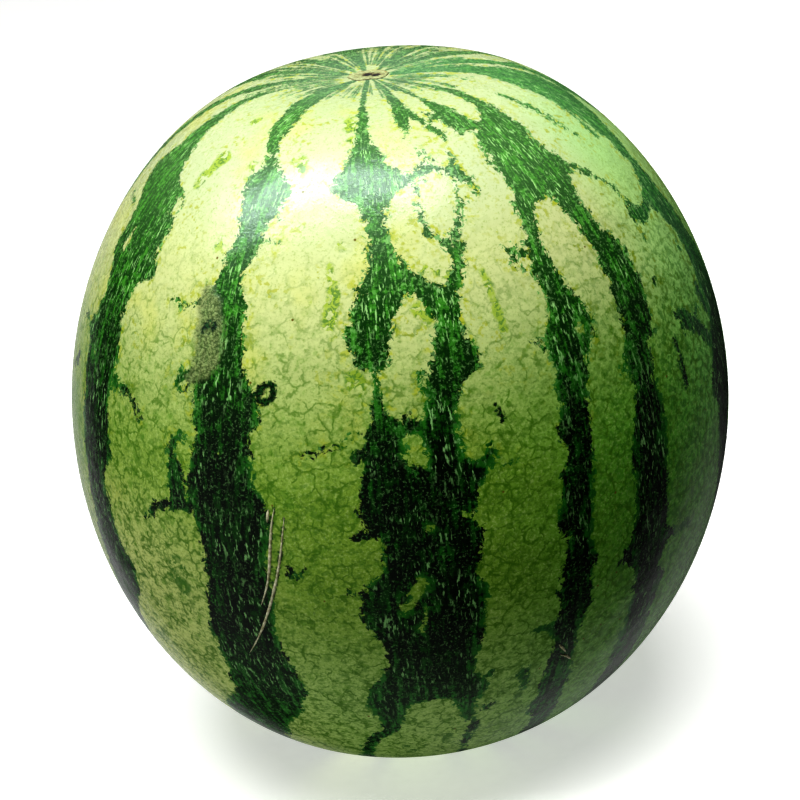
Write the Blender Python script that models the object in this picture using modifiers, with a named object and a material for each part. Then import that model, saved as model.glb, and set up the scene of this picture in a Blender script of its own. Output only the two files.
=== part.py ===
"""A round, slightly long striped watermelon, picked, standing on its stem end.

The whole fruit is one solid: a flat-ended ovoid body, turned from one formula, that leans a little and is a
little three-lobed, as a fruit of three carpels is. Its upper end carries the corky blossom scar. Its lower end
has a shallow hollow with the scar where the stem came away, and rests on the flat ring round that hollow.

Metres, +Z up. The origin is the middle of the fruit's base, so the melon stands on z = 0.
"""

import math

import bmesh
import bpy
from mathutils import Vector

MM = 0.001

# The body, in millimetres and degrees
GIRTH_RADIUS = 125.0  # at the widest girth
HALF_LENGTH = 140.0  # of the plain ovoid, before its ends are flattened
END_WIDTH = 20.0  # colatitude over which an end is flattened
BLOSSOM_FLATTENING = 10.5
STEM_FLATTENING = 9.0
REST_RADIUS = 26.0  # outer edge of the flat ring that the fruit rests on
LEAN = 0.016  # sideways shift of the axis for each unit of height
LOBES = 3
LOBE_HEIGHT = 0.5

# The blossom scar: a low corky button with a rim, a pitted floor and a split across it
BUTTON_RADIUS = 6.4
RIM_WIDTH = 1.1
RIM_HEIGHT = 0.75
FLOOR_DEPTH = 0.45
SPLIT_LENGTH = 2.3
SPLIT_WIDTH = 0.75
SPLIT_DEPTH = 1.7
SPLIT_TURN = 18.0

# The stem scar: a round hollow, and in it the raised ring left by the stem
HOLLOW_RADIUS = 15.0
HOLLOW_DEPTH = 5.5
STUB_RADIUS = 4.2
STUB_WIDTH = 1.5
STUB_HEIGHT = 1.5
STUB_PIT_DEPTH = 1.3

# How finely the solid is faceted
MERIDIANS = 72
BODY_RINGS = 38
END_RINGS = 9
END_RADIUS = 15.0  # the finer rings of each end lie within this radius

RIND_GREEN = "#5F8F3A"


def linear_from_hex(text):
    """The linear RGBA colour of an sRGB hex value."""
    channels = [int(text[i : i + 2], 16) / 255 for i in (1, 3, 5)]
    return [c / 12.92 if c <= 0.04045 else ((c + 0.055) / 1.055) ** 2.4 for c in channels] + [1.0]


def bell(distance, width):
    """A smooth bump, 1 at distance 0 and falling away over width."""
    return math.exp(-((distance / width) ** 2))


def body_point(latitude):
    """Radius and height over the girth of the ovoid with flattened ends, in mm. Latitude is in degrees."""
    angle = math.radians(latitude)
    radius = GIRTH_RADIUS * math.cos(angle)
    height = HALF_LENGTH * math.sin(angle)
    height -= BLOSSOM_FLATTENING * bell(90 - latitude, END_WIDTH)
    height += STEM_FLATTENING * bell(90 + latitude, END_WIDTH)
    return radius, height


def base_height():
    """Height of the resting plane, in mm from the girth: where the body is as wide as the resting ring."""
    return body_point(-math.degrees(math.acos(REST_RADIUS / GIRTH_RADIUS)))[1]


def outline():
    """The half outline from the blossom end to the stem end, as (radius, height over the base) in mm."""
    end_latitude = math.degrees(math.acos(END_RADIUS / GIRTH_RADIUS))
    colatitude_step = (90 - end_latitude) / END_RINGS
    top = [90 - i * colatitude_step for i in range(END_RINGS)]
    body = [end_latitude - 2 * end_latitude * i / BODY_RINGS for i in range(BODY_RINGS + 1)]
    latitudes = top + body + [-latitude for latitude in reversed(top)]
    base = base_height()
    points = []
    for latitude in latitudes:
        radius, height = body_point(latitude)
        points.append((max(radius, 0.0), max(height - base, 0.0)))
    points[0] = (0.0, points[0][1])
    points[-1] = (0.0, 0.0)
    return points


def turned_body():
    """The outline turned round the axis with a Screw modifier, as a plain mesh."""
    mesh = bpy.data.meshes.new("outline")
    points = outline()
    mesh.from_pydata(
        [(radius * MM, 0, height * MM) for radius, height in points],
        [(i, i + 1) for i in range(len(points) - 1)],
        [],
    )
    guide = bpy.data.objects.new("outline_guide", mesh)
    bpy.context.scene.collection.objects.link(guide)
    screw = guide.modifiers.new("turn", "SCREW")
    screw.axis = "Z"
    screw.steps = screw.render_steps = MERIDIANS
    screw.use_merge_vertices = True
    screw.merge_threshold = 0.00001
    graph = bpy.context.evaluated_depsgraph_get()
    body = bpy.data.meshes.new_from_object(guide.evaluated_get(graph))
    bpy.data.objects.remove(guide)
    return body


def blossom_relief(x, y):
    """Height of the blossom scar over the flattened end, in mm, at a place given in mm from its centre."""
    radius = math.hypot(x, y)
    turn = math.atan2(y, x)
    uneven = 1 + 0.22 * math.sin(3 * turn + 0.6) + 0.14 * math.sin(7 * turn + 2.1)
    rim = RIM_HEIGHT * uneven * bell(radius - BUTTON_RADIUS, RIM_WIDTH)
    floor = -FLOOR_DEPTH * bell(radius, BUTTON_RADIUS * 0.8)
    split = math.radians(SPLIT_TURN)
    along = x * math.cos(split) + y * math.sin(split)
    across = -x * math.sin(split) + y * math.cos(split)
    crack = -SPLIT_DEPTH * bell(along, SPLIT_LENGTH) * bell(across, SPLIT_WIDTH)
    return rim + floor + crack


def stem_relief(x, y):
    """Height of the stem end's hollow and scar over the resting plane, in mm. Positive is up, into the fruit."""
    radius = math.hypot(x, y)
    if radius >= HOLLOW_RADIUS:
        return 0.0
    turn = math.atan2(y, x)
    hollow = HOLLOW_DEPTH * (0.5 + 0.5 * math.cos(math.pi * radius / HOLLOW_RADIUS))
    uneven = 1 + 0.2 * math.sin(5 * turn + 0.9)
    ring = STUB_HEIGHT * uneven * bell(radius - STUB_RADIUS, STUB_WIDTH)
    pit = STUB_PIT_DEPTH * bell(radius, STUB_RADIUS * 0.5)
    return hollow - ring + pit


def shape_fruit(mesh):
    """Gives the turned body its scars, its lobes and its lean, and centres it over the origin."""
    base = base_height() * MM
    for vertex in mesh.vertices:
        x, y = vertex.co.x / MM, vertex.co.y / MM
        radius = math.hypot(x, y)
        if vertex.co.z > -base:
            vertex.co.z += blossom_relief(x, y) * MM
        elif radius < HOLLOW_RADIUS:
            vertex.co.z += stem_relief(x, y) * MM
        share = (radius / GIRTH_RADIUS) ** 2
        swell = 1 + LOBE_HEIGHT / GIRTH_RADIUS * share * math.cos(LOBES * math.atan2(y, x))
        vertex.co.x *= swell
        vertex.co.y *= swell
        vertex.co.x += LEAN * (vertex.co.z + base)
    low = Vector(min(v.co[i] for v in mesh.vertices) for i in range(3))
    high = Vector(max(v.co[i] for v in mesh.vertices) for i in range(3))
    middle = (low + high) / 2
    for vertex in mesh.vertices:
        vertex.co.x -= middle.x
        vertex.co.y -= middle.y


def rind_material():
    """Waxy green rind."""
    material = bpy.data.materials.new("waxy_rind")
    material.use_nodes = True
    shader = material.node_tree.nodes["Principled BSDF"]
    shader.inputs["Base Color"].default_value = linear_from_hex(RIND_GREEN)
    shader.inputs["Roughness"].default_value = 0.35
    shader.inputs["Metallic"].default_value = 0.0
    return material


def make_watermelon(collection):
    mesh = turned_body()
    mesh.name = "watermelon"
    shape_fruit(mesh)
    solid = bmesh.new()
    solid.from_mesh(mesh)
    bmesh.ops.remove_doubles(solid, verts=solid.verts, dist=0.000001)
    bmesh.ops.recalc_face_normals(solid, faces=solid.faces)
    solid.to_mesh(mesh)
    solid.free()
    mesh.materials.clear()
    mesh.materials.append(rind_material())
    mesh.shade_smooth()
    melon = bpy.data.objects.new("watermelon", mesh)
    collection.objects.link(melon)
    return melon


def main():
    for stray in list(bpy.data.objects):
        bpy.data.objects.remove(stray)
    collection = bpy.data.collections.new("watermelon")
    bpy.context.scene.collection.children.link(collection)
    make_watermelon(collection)


main()
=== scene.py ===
"""A round striped watermelon, dressed for its portrait.

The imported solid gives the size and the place. A fine rind replaces it, with stripes, crackle and freckles
painted by rules, and small pieces of their own make the corky scars and the dry scratches.

Places on the rind are (longitude, latitude) in degrees. Latitude 90 is the blossom end, on top, and -90 the
stem end, underneath. Longitude 0 faces the front, -Y, and grows towards +X. Widths on the rind are in mm.
"""

import math
from functools import partial

import bmesh
import bpy
import numpy as np
from mathutils import Matrix, Vector, noise

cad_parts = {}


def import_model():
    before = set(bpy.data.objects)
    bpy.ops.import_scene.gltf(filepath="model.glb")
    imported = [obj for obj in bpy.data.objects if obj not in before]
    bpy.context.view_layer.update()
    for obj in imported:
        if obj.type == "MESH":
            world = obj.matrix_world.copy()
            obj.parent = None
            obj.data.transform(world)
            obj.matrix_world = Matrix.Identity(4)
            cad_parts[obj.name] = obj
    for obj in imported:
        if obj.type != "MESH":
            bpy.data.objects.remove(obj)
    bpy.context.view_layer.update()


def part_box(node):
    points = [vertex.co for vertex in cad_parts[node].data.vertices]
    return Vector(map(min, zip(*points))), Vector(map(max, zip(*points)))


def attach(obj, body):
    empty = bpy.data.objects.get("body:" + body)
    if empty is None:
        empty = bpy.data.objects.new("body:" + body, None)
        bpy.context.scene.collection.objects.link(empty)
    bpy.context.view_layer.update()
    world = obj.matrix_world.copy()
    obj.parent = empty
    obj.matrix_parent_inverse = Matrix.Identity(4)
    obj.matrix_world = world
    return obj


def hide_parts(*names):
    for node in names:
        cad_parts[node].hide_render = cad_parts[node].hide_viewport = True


MM = 0.001

# Proportions of the fruit, as shares of its girth radius
SHAPE = {
    "half_length": 1.12, "blossom_flattening": 0.084, "stem_flattening": 0.072,
    "hollow_radius": 0.12, "hollow_depth": 0.044,
}
REST_RADIUS = 0.208
LOBE_HEIGHT = 0.004

END_WIDTH = 20.0  # degrees of colatitude over which an end is flattened
GIRTH_LATITUDE = 2.0  # where the fruit is widest
LEAN = 0.016  # sideways shift of the axis for each unit of height
LOBES = 3

MERIDIANS = 440
RINGS = 225

# The stripes, top to bottom: (latitude, longitude of the left edge, longitude of the right edge)
STRIPES = {
    "far_left": [
        (72, -86, -83), (68, -86, -80), (64, -85, -77), (60, -84, -74), (56, -83, -71), (52, -85, -67),
        (49, -87, -57), (47, -82, -56.5), (44, -78, -56.5), (40, -76.5, -56.5), (36, -77, -54.5),
        (34.5, -74, -59), (32, -71.5, -60.5), (28, -71.5, -61), (26.5, -73, -60), (24, -76, -59.5),
        (22.3, -72.5, -59), (18, -72.5, -59.3), (15, -71, -60), (11, -71, -58.7), (8, -70.3, -58.3),
        (5, -70, -61), (2, -69.5, -61.5), (0, -69, -60), (-5, -69, -59.5), (-8, -70, -57.5),
        (-12, -69.5, -56), (-15, -70, -57.5), (-20, -72, -62), (-25, -71, -65), (-35, -74, -67),
        (-50, -78, -66), (-70, -84, -60), (-90, -84, -60),
    ],
    "left": [
        (90, -60, -40), (83, -58, -39), (77, -54, -38), (72, -49.5, -37), (67, -45.5, -35.5),
        (63, -42.5, -35.5), (60, -37.5, -33.5), (57.5, -36.5, -31), (56, -38.5, -28), (53, -39, -24),
        (51, -38, -25), (49, -36, -27.2), (45, -35, -28.4), (42, -36.5, -29.5), (39.5, -37, -31.3),
        (36, -38.8, -30.3), (34.5, -39.3, -28.8), (31, -38.8, -28.8), (28, -38.3, -28.2),
        (25.5, -38, -27.3), (23, -38.5, -25.8), (21, -37.4, -24.4), (18, -37.5, -24.3),
        (16.5, -37.3, -26), (12, -37.5, -26), (8.5, -38.5, -25.5), (7, -38.5, -23.5), (3, -37.7, -23.5),
        (0, -36.5, -23.5), (-3, -36, -25), (-8, -37, -24.2), (-14, -38, -25), (-16, -40, -25.3),
        (-18, -38.5, -24.7), (-25, -39, -23.5), (-28, -40, -22.3), (-30, -40.5, -24.5), (-33, -42.5, -26),
        (-35, -46, -27.5), (-40, -51.5, -33), (-45, -55.5, -37), (-52, -59, -43), (-65, -63, -45),
        (-90, -66, -45),
    ],
    "middle_top": [
        (90, -14, 4), (84, -11, 0), (80, -8.2, -3), (74, -7.7, -3.6), (69, -6.3, -2.4), (66, -6.8, -2.8),
        (63.5, -7, -1.2), (60, -9.2, 1.8), (57.5, -10, 3.4), (55, -14, 6.2), (53.5, -13, 9.6),
        (52.3, -11.5, 5), (50, -6, 1), (47, -4, 0.4), (44, -3.8, 1.4), (40, -4.2, 4.4), (38.3, -5.5, 5.8),
        (36, -7.8, 9),
    ],
    "middle_left": [
        (37, -7, 3), (35, -8.2, 2.4), (32, -8.7, -0.3), (30, -9.2, -1), (26.5, -7.6, -1.2),
        (25, -5.2, -3), (22, -4.9, -3.1), (19, -5.3, -2.5), (16, -6, 1),
    ],
    "middle_right": [
        (37, 4, 8), (35.5, 4.8, 12.5), (34, 5.8, 13), (32, 7.6, 12.6), (28, 7, 12.8), (25.5, 5.6, 14.8),
        (23.5, 5, 14.8), (22.5, 4.8, 10.8), (20, 4, 10), (18, 2.7, 9.3), (15, 2, 9.3),
    ],
    "middle": [
        (18, -5.6, 8.8), (16, -6.6, 9), (13, -7.2, 9.6), (11, -7, 10), (9, -8, 13.5), (7, -8.5, 11.3),
        (4, -8.5, 10.4), (1.5, -6.2, 10), (0, -4.8, 11.5), (-4, -5, 10.2), (-6, -8, 9.7),
        (-10, -9.7, 11.4), (-13, -10, 10.4), (-16, -7.6, 10.6), (-21, -6.3, 9.4), (-24, -8, 9),
        (-26.5, -11, 9.5), (-29, -11.8, 12), (-31, -12.3, 11),
    ],
    "middle_lower_left": [
        (-29, -12, -1), (-31.5, -12.2, -3.3), (-35, -10.8, -5.2), (-39, -11, -6.3), (-41.5, -14, -10.2),
        (-45, -16.5, -12.3), (-49, -18.5, -15), (-53, -21, -18), (-62, -26, -21), (-90, -38, -20),
    ],
    "middle_lower_right": [
        (-29, 2, 12), (-31.5, 4.5, 10), (-36, 6.2, 9), (-40, 7.5, 10.3), (-44, 7.6, 9.7), (-49, 7, 9.4),
        (-56, 7.5, 10), (-68, 7, 13), (-90, 4, 24),
    ],
    "polar_right": [
        (90, 10, 22), (84, 12, 20), (79, 11, 18), (76, 10.5, 16), (72, 9.5, 18), (69, 8.8, 16.5),
        (66.5, 9, 14.8), (63, 10, 12),
    ],
    "inner_right": [
        (88, 22, 32), (81, 23, 27.5), (77, 24.5, 28), (73.5, 26.5, 30), (70, 27, 32), (67, 27.5, 34.5),
        (64, 27, 36.5), (61, 29, 40),
    ],
    "right_top": [
        (90, 36, 50), (84, 39, 48), (78, 43.5, 48.5), (72, 44.7, 50), (66, 44.7, 50.8), (63, 42, 51.3),
        (61, 38, 52), (59.5, 33, 51.5), (55, 31.6, 51), (52, 32, 51.5), (50, 32.5, 53.5), (48, 33, 53.3),
        (45.5, 32.4, 51),
    ],
    "right": [
        (47, 32.5, 39), (44.5, 31.5, 36), (42, 30.8, 34), (38, 29.8, 33.5), (35, 28.6, 34),
        (31, 29.3, 35.3), (28, 29, 37), (25.5, 27.3, 38), (23, 27, 36.8), (21, 27.3, 34), (17, 27, 32.8),
        (13, 26.2, 32.1), (11, 25.8, 32), (8, 26.9, 31.8), (5, 25.3, 31.5), (0, 24, 31),
        (-3.5, 24.2, 30.4), (-6, 26, 30.6), (-9, 24.7, 31.3), (-13, 24, 30.5), (-18, 24.4, 30.6),
        (-20, 22, 29.3), (-23, 24, 28.7), (-28, 23.2, 29.2), (-33, 22.3, 29.8), (-37, 23, 30),
        (-39.5, 20.8, 30.6), (-43, 24, 31), (-49, 25.5, 33.3), (-56, 27, 35), (-70, 27, 40),
        (-90, 24, 50),
    ],
    "far_right": [
        (47, 40, 53), (44.5, 41, 50), (41, 43, 49), (37, 44.5, 49.5), (34.5, 44.7, 52), (31, 44.8, 52.7),
        (27, 44.4, 53), (23, 44, 52.4), (20.5, 43.4, 50.8), (18.8, 42, 48.6), (14, 42.4, 47.8),
        (10.5, 41.6, 48.8), (7, 40.2, 48.3), (0, 39.5, 48.2), (-5, 39.8, 48), (-10, 38.4, 48.3),
        (-13, 37.5, 49), (-15.5, 40.2, 48.2), (-17, 40.6, 47.2), (-20, 41.2, 50.4), (-23, 41, 49),
        (-30, 41, 49.7), (-37, 42.2, 51.5), (-46, 43.5, 53), (-60, 44, 57), (-90, 45, 64),
    ],
    "edge_right": [
        (86, 72, 100), (80, 80, 94), (75, 78, 92), (70, 77.5, 92), (66, 75, 96), (60, 75.5, 97),
        (54, 76.3, 94), (50, 76.5, 90), (46, 77.4, 85), (41, 77.2, 81.7), (38, 73, 81.5),
        (34, 70.5, 81.5), (30, 74, 82), (26, 75, 83), (22, 73.5, 85), (15, 74, 86), (12, 70, 84),
        (8, 68, 82), (5, 66.3, 81), (1, 68.5, 80), (-4, 68, 77), (-12, 70, 80), (-30, 74, 86),
        (-60, 74, 90), (-90, 70, 92),
    ],
}

# Smaller dark marks: each is a chain of (longitude, latitude, half width in mm)
MARKS = [
    [(-85, 14, 0.8), (-80.5, 16.3, 1.6), (-77.5, 18, 1.8)],
    [(-87, 43.8, 0.6), (-80, 43.2, 1)],
    [(-60, 19.3, 2.5), (-57, 18.8, 2.1), (-54, 18.8, 1.8), (-52, 17.5, 1.5), (-50, 15.6, 1.2)],
    [(-76, 24.6, 2), (-79, 24.2, 0.8)],
    [(-39, 14.4, 2.2), (-41, 14, 2.3), (-41.7, 12.4, 2),
     (-41, 10.3, 3), (-40.9, 8, 3.8), (-40.6, 5.6, 4.2)],
    [(-38.5, 4.2, 2.6), (-42, 4, 2), (-45, 3.3, 1.8), (-46.6, 2, 1.3), (-49, 0.4, 0.4)],
    [(-41.6, 22.4, 1.1), (-40.3, 23.7, 1.8), (-38, 23.5, 2.4)],
    [(-41.3, 21.3, 0.9), (-39.5, 21.8, 1.3)],
    [(-46.5, 34, 0.6), (-44.5, 33.3, 0.9), (-42.5, 33.5, 0.8), (-40, 34.5, 1.3)],
    [(-21, -5.2, 0.8), (-20.5, -3.9, 1.2), (-19.8, -3.2, 1)],
    [(-19.2, -4.3, 0.8), (-18, -3.4, 0.9)],
    [(-20.2, -5.6, 0.7), (-19.2, -5.4, 0.4)],
    [(-26, 45.2, 0.8), (-24.8, 44.3, 0.6)],
    [(-28, 49.5, 1), (-25.5, 48.5, 0.6)],
    [(-17, 13.4, 0.7), (-12.5, 14.6, 0.8), (-10, 15.4, 0.9), (-7, 16.5, 1)],
    [(-8.2, 13.5, 1.1), (-8.2, 12.4, 1.1)],
    [(-8, 1.5, 1.8), (-9.2, 1.3, 1)],
    [(-11.3, -7.2, 0.8), (-9, -7.6, 1.5)],
    [(18.8, 48, 1.1), (17.3, 46, 1.4), (15.6, 43.6, 1.9),
     (14.7, 41, 1.8), (14.2, 38.5, 1.5), (12.8, 36, 2.4)],
    [(8.8, 52.5, 1.2), (8.8, 46, 0.8), (9.3, 44.3, 0.8), (12, 42.6, 1), (14.3, 41.5, 1.5)],
    [(5, 55.3, 1.8), (8, 54, 2), (11, 54.8, 1.9), (13.5, 55.8, 2.4), (16, 55.2, 1.6), (19.5, 54.3, 0.8)],
    [(14.3, 56, 2), (14.4, 57.8, 1.6), (14.2, 60, 0.6)],
    [(23.5, 62, 1.2), (22.5, 59, 0.7), (22, 56.5, 1.8),
     (20.5, 54.5, 1.1), (19.5, 52, 0.6), (19.2, 50, 0.6)],
    [(22, 56, 1.6), (21.3, 53.8, 1.8), (23.5, 51.8, 1.4), (24, 49.5, 0.6)],
    [(15, 70, 2.2), (18, 67.4, 1.5), (20.6, 64.4, 1.6), (22.5, 62, 1.4)],
    [(21, 65, 1.2), (25, 66, 1.5), (28, 66.5, 1.8)],
    [(22.5, 68.5, 1), (25.5, 67, 1.2)],
    [(3.2, 24, 1), (4, 22, 1)],
    [(13.8, 12, 1.4), (13.5, 10.8, 1.7), (11.5, 10.2, 1.4), (16, 9.2, 1.2), (17.5, 9.3, 0.5)],
    [(25, 39.5, 0.9), (27, 38.5, 2.2), (29, 37.5, 2.2)],
    [(26, 37, 1), (27.5, 36, 1)],
    [(24.5, 25.8, 0.8), (26.5, 24.8, 1.8)],
    [(36, 27.5, 1.8), (37.5, 25, 0.9), (36.8, 23, 0.7)],
    [(41.2, 17.3, 2), (43, 17.5, 2)],
    [(51, 19.8, 1.3)],
    [(57, 25.8, 1.6)],
    [(51.5, 33.5, 2.2), (53.5, 32.2, 1.2)],
    [(53, 48.5, 1.2), (55.5, 46.6, 0.9), (57, 45.3, 1.2),
     (59, 43.5, 0.5), (61.5, 41.6, 0.7), (62, 39.5, 1)],
    [(62.5, 38, 1.8), (62.8, 35.8, 3.8), (65, 35.2, 3.3), (68, 35.4, 2.2), (71, 36, 3.6)],
    [(61, 33, 0.8), (60.5, 31.5, 0.5)],
    [(58.8, 20, 1), (60.5, 18.8, 2), (62.5, 18, 3.6), (65, 15.6, 3), (67.5, 13.6, 2), (69.5, 11.5, 3)],
    [(60, 16.8, 1.7), (62, 17, 2)],
    [(67.5, 18, 1.8), (66.8, 17.2, 1.4)],
    [(71.5, 19.5, 3), (72.3, 17, 3), (73.5, 15.6, 1.6)],
    [(56.4, 15.8, 1.6), (56.3, 13, 1.8), (56.4, 9.5, 1.2)],
    [(49, -11.8, 1.4), (51.5, -12.6, 2), (54, -12.6, 1.9), (57.5, -13.4, 1)],
    [(36.5, -12.6, 0.8), (38, -12, 2)],
    [(19.6, -19.3, 0.9), (21.5, -20, 1.4), (23.5, -19.8, 1.6)],
    [(18.7, -27.8, 2.2), (18.3, -30, 2.6), (18.8, -32, 2.4)],
    [(12, -25.9, 1), (11.3, -27, 0.9)],
    [(12.2, -34.8, 1.5), (11.2, -35.3, 1.8)],
    [(61, 66, 0.5), (62.5, 63, 1.5), (63.5, 60, 1.6), (65, 56, 1.4), (66, 52, 1), (66.5, 50, 0.5)],
    [(72.3, 26.8, 2.2)],
    [(76.5, 56, 1.5), (75, 52, 1.6), (73.8, 48.5, 0.8)],
]

# Pale islands in the dark: chains as above
ISLANDS = [
    [(-58.6, 48.5, 1.2), (-58.5, 46, 1.5)],
    [(-68.5, 21, 0.9)],
    [(-71, 37.5, 0.7), (-71, 41, 1)],
    [(1.2, 14.5, 2.8), (1.7, 12.2, 3.1)],
    [(0.4, -6.6, 1), (-0.2, -8.3, 1.5), (-2.2, -10.5, 1.8)],
    [(0.6, -11.6, 0.7), (0, -14.5, 1.1)],
    [(-0.8, 24.5, 2.6), (0.3, 22, 3.2), (-0.6, 19.4, 3)],
    [(3, 33, 2), (3.2, 29.5, 3.6), (4, 27, 3.6), (2.8, 25.2, 2.4)],
    [(9.5, 42, 3), (9.6, 40.3, 4.2)],
    [(34.7, 25.2, 1.7)],
    [(25.8, -3.8, 1.2)],
    [(2.8, 2, 0.9)],
    [(4, -3, 0.6)],
    [(8.5, 3.2, 0.6)],
    [(-32, 13, 0.5)],
    [(4.2, -34, 1)],
]

# Yellowish green blotches that are neither pale nor dark
BLOTCHES = [
    [(-44, -5.6, 1.4), (-42, -5, 1.6), (-41.5, -6, 1.8)],
    [(-44.5, -8, 1.4), (-42.6, -9.2, 1.8), (-41.3, -9, 1.3), (-42.4, -11, 1.8)],
    [(-53.3, -10.7, 1.2), (-51.7, -10.4, 0.8)],
    [(-57.5, 40, 3), (-57, 38, 3)],
    [(-38.6, 37.5, 2)],
    [(-39.5, 44.5, 1), (-39.3, 42.8, 1.2)],
    [(-44.5, 33.5, 1.2), (-42, 33.6, 0.8)],
    [(-41.5, 29, 1.1)],
    [(-56.5, 66.6, 2)],
    [(-53.8, 57.8, 2.6), (-55.7, 52, 1.5)],
    [(-40, 57.3, 1.8), (-38.3, 55, 1.4)],
    [(-41.7, 53.2, 1.2)],
    [(-39, 44.3, 1.2)],
    [(-24.9, 59.1, 2), (-22, 57, 1.2)],
    [(-10.3, 69, 1.6), (-9.8, 66.5, 1.4)],
    [(-8.6, 63.5, 1.6)],
    [(-7.5, 24.5, 3), (-6.8, 22.5, 2)],
    [(-12, 41, 1.5), (-11, 37, 2), (-12, 32, 2.4)],
    [(-15.8, 36, 1.2)],
    [(-9.7, 44, 2)],
    [(5, 33.5, 2.4), (6.5, 31.5, 1.8)],
    [(3, 24, 1.6)],
    [(7.2, 38.8, 1.8), (12, 37.7, 1.4)],
    [(18.7, 37, 1.2), (19.5, 30, 1.2), (20, 27.5, 1)],
    [(44.4, 38.5, 1.3)],
    [(56.5, 12, 2.4)],
    [(18.3, -34, 2)],
    [(3.5, -43, 1.6), (4, -47, 1.6)],
    [(-6.5, -47, 2), (-5.5, -50, 1.8)],
    [(48.5, 68.5, 2), (46, 66, 1.5)],
    [(33, 65, 2.2), (34.5, 63.5, 2.4)],
    [(45.5, 56, 1.6), (44, 53, 2)],
]

# The dry grey scab beside the left stripe
SCAB = [
    [(-38.4, 36.6, 2.6), (-37.4, 33.8, 5.6), (-36.2, 30.6, 6.4), (-35.8, 27.6, 6.0), (-36.4, 25, 4.4),
     (-38.4, 23.4, 2.4)],
]

# Small dark nicks with clean edges: two in the scab, a hooked ring and a short stroke
NICKS = [
    [(-37.4, 30.5, 1.5), (-36.8, 31.5, 0.9), (-35.8, 32.1, 0.8), (-35, 31.4, 1.0)],
    [(-36.4, 30.1, 0.6), (-35.3, 30.8, 0.8), (-34.4, 32, 0.6)],
    [(-25.8, 22.2, 1.0), (-24.7, 22.5, 1.3), (-24.1, 23.4, 1.3), (-23.2, 23.7, 0.9), (-22.1, 23.6, 1.4),
     (-21.8, 22.4, 1.3), (-22.4, 21.4, 1.1), (-23.4, 21.2, 1.4), (-24.6, 21.3, 1.5), (-24.8, 22.3, 1.3)],
    [(15.7, 18, 0.8), (16, 16.9, 1.3), (16.4, 15.6, 1.1)],
]

# Thin dry scratches, most of them on the left stripe's right edge, as (longitude, latitude)
SCRATCHES = [
    [(-22.2, 5.8), (-22.9, 3.5), (-23.3, 1), (-23.8, -2), (-24.4, -5), (-25.3, -7.5), (-26.8, -10.2)],
    [(-20.6, 4.6), (-21.1, 2), (-21.8, -1), (-22.6, -4), (-23.8, -7), (-25.3, -10.5), (-27, -13.5),
     (-29, -16.8), (-32, -20.3)],
    [(-25.6, -11), (-26.7, -13), (-27.9, -15.2)],
    [(-23.2, 5.6), (-23.6, 3.6)],
    [(25.1, -24.3), (26.1, -25.4), (27, -26.6)],
    [(25.8, -26.8), (27.4, -27.6), (28.7, -28.9)],
]

# The hidden side: (longitude, half width in degrees) of each stripe there
BACK_STRIPES = [(-101, 3.0), (-120, 5.5), (-146, 4.5), (-170, 6.0), (149, 5.5), (124, 4.5), (102, 3.0)]
BACK_LEVELS = 32  # along each stripe, where it sways and swells
BACK_TABS = 9  # small marks beside each stripe
BACK_SEED = 11

# Where the fruit lay on the soil: a cream patch on the far side
GROUND_SPOT = [
    [(158, -30, 30.0), (166, -14, 34.0)],
]

# Fine spokes round each end
RAYS = 96
RAY_SEED = 5

# The scars, in mm: radii, and the blossom scar's pits as (centre, direction, half length, half width)
BLOSSOM_RADIUS = 6.7
STEM_RADIUS = 7.0
BLOSSOM_PITS = [
    ((-0.2, 0.6), (0.9, -0.44), 1.5, 1.8),
    ((2.9, -1.0), (0.9, -0.44), 1.4, 1.6),
]
SCAR_RINGS = 30
SCAR_SPOKES = 96
SCAR_EDGE = 0.08  # how far the rim stands over the rind
SCAR_SINK = 0.5  # how far the last ring dips into it
SCAR_FOOT = 1.5  # depth of the flat underside
SCRATCH_RADIUS = 0.52
# Half width in mm of the painted groove shade along each scratch
SCRATCH_GROOVE_SHADE = 0.6
SCRATCH_STEP = 0.6

# The scars' cork, from the pits up to the ridges: share of the relief, in mm, and colour; the near black of
# the pits and of the low outer edge is painted shade
CORK_RELIEF = 1.15
CORK_TONES_AND_PIT_SHADE = [
    (0.0, "#0A0705"), (0.2, "#120D07"), (0.32, "#4A3C20"), (0.42, "#8E9262"), (0.55, "#9CA678"),
    (0.75, "#8C7E4A"), (1.0, "#7A6430"),
]

# What is painted on the rind, as depths in mm
RIND_FIELDS = ("dark", "blotch", "scab", "nick_and_groove_shade", "cream")

# Over how many mm the stripes' and the scab's edges fray
STRIPE_FRAY = 8.0
SCAB_FRAY = 10.0

# Clouds of the rind's paint and skin: size in mm, detail and roughness
CLOUDS = {
    "ragged": (9.0, 7.0, 0.66),
    "drifting": (26.0, 3.0, 0.5),
    "gathering": (16.0, 2.0, 0.5),
    "swelling": (14.0, 2.0, 0.5),
    "breaking": (5.0, 3.0, 0.6),
    "mottled": (3.6, 4.0, 0.65),
    "dotted": (2.2, 2.0, 0.5),
    "waxy": (3.0, 3.0, 0.5),
    "gritty": (1.0, 3.0, 0.65),
}
# Cells of the rind, in mm: plates and slabs between cracks, chips and crumbs of colour, room for a freckle
CELLS = {"plates": 6.4, "slabs": 3.2, "chips": 2.1, "crumbs": 0.95, "freckles": 8.0}
CELL_WARP = (4.0, 6.0)  # the size of the bends in them, and how far they reach
# Streaks that run from end to end: how many to a girth radius across, and how many to a quarter turn along
STREAKS = {"threads": (60.0, 12.0), "dashes": (115.0, 60.0), "rungs": (38.0, 105.0)}

# The view, with lengths in girth radii and angles in degrees
VIEW_DISTANCE = 9.0
VIEW_TILT = 23.0
VIEW_ROLL = 6.4
VIEW_LENS = 132.3  # mm, on a film 36 mm wide
VIEW_FILM = 36.0
VIEW_SHIFT = (0.00125, 0.0009)

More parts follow.
